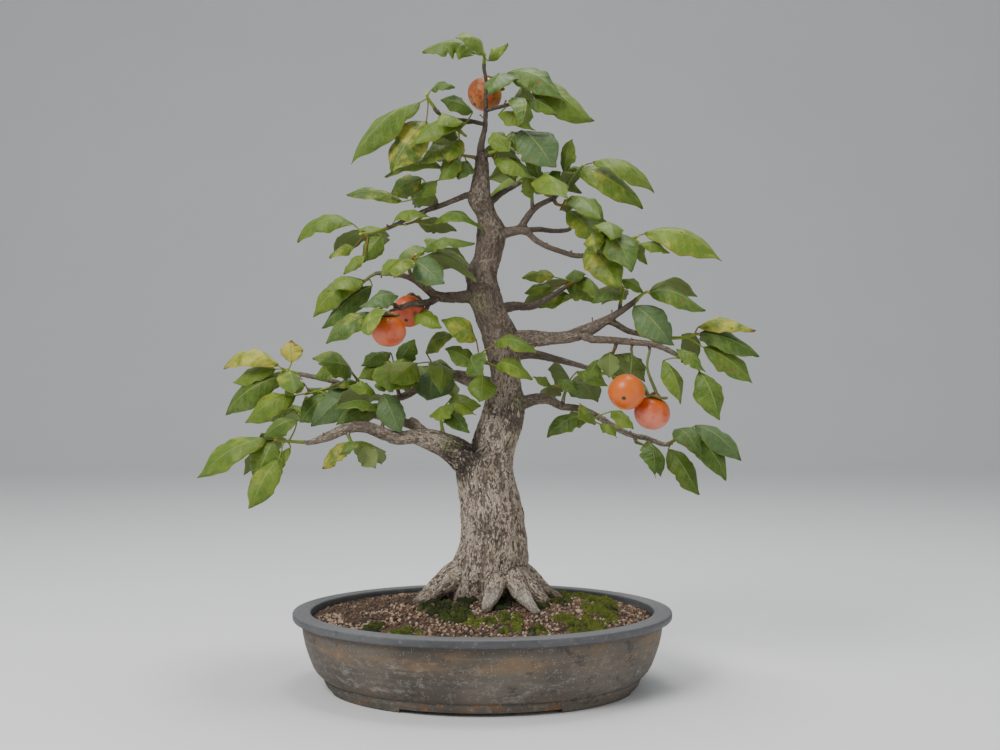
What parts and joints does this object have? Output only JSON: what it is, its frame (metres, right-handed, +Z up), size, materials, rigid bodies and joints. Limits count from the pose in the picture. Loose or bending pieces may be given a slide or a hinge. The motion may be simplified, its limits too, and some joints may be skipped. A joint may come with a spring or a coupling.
{
  "type": "persimmon bonsai",
  "caption": "Small fruiting persimmon tree, leaning in a gentle curve, grown in a shallow oval unglazed pot with a rolled lip and feet.",
  "frame": {"origin": "middle of the bounding box in plan, at the level of the pot's feet", "axes": "+X along the pot's long side to the right as the tree is viewed from its front, +Y away from the front, +Z up"},
  "size_m": [0.6856, 0.4166, 0.8049],
  "materials": {
    "pot": "unglazed stoneware, matt, grey brown with pale mineral bloom",
    "soil": "loose fired-clay and pumice grains, matt",
    "drain_screen": "black plastic mesh",
    "bark": "flaking grey bark, matt",
    "leaf": null,
    "fruit": null,
    "calyx": "woody green calyx and stalk, matt"
  },
  "bodies": {
    "root": {"calyx_1": "calyx", "calyx_2": "calyx", "calyx_3": "calyx", "calyx_4": "calyx", "calyx_5": "calyx", "drain_screen_left": "drain_screen", "drain_screen_right": "drain_screen", "fruit_1": "fruit", "fruit_2": "fruit", "fruit_3": "fruit", "fruit_4": "fruit", "fruit_5": "fruit", "leaves_back_high": "leaf", "leaves_back_low": "leaf", "leaves_back_mid": "leaf", "leaves_back_right": "leaf", "leaves_behind_left_end": "leaf", "leaves_behind_left_inner": "leaf", "leaves_behind_left_low": "leaf", "leaves_behind_left_mid": "leaf", "leaves_behind_left_up": "leaf", "leaves_behind_right": "leaf", "leaves_fork_end": "leaf", "leaves_fork_mid": "leaf", "leaves_front_right_end": "leaf", "leaves_front_right_inner": "leaf", "leaves_high_left_end": "leaf", "leaves_high_left_inner": "leaf", "leaves_high_left_low": "leaf", "leaves_high_side": "leaf", "leaves_high_up_end": "leaf", "leaves_high_up_inner": "leaf", "leaves_high_up_low": "leaf", "leaves_low_left_back": "leaf", "leaves_low_left_end": "leaf", "leaves_low_left_shoot": "leaf", "leaves_low_left_top": "leaf", "leaves_low_left_under": "leaf", "leaves_low_right_end": "leaf", "leaves_low_right_inner": "leaf", "leaves_low_right_mid": "leaf", "leaves_low_right_top": "leaf", "leaves_mid_left_far": "leaf", "leaves_mid_left_inner": "leaf", "leaves_mid_left_low": "leaf", "leaves_mid_left_up": "leaf", "leaves_mid_right_far": "leaf", "leaves_mid_right_tip": "leaf", "leaves_mid_right_top": "leaf", "leaves_right_of_leader": "leaf", "leaves_top": "leaf", "leaves_top_left": "leaf", "leaves_top_left_inner": "leaf", "leaves_top_right": "leaf", "leaves_trunk_front": "leaf", "leaves_trunk_top_left": "leaf", "leaves_trunk_top_right": "leaf", "pot": "pot", "soil": "soil", "tree": "bark"}
  },
  "joints": []
}
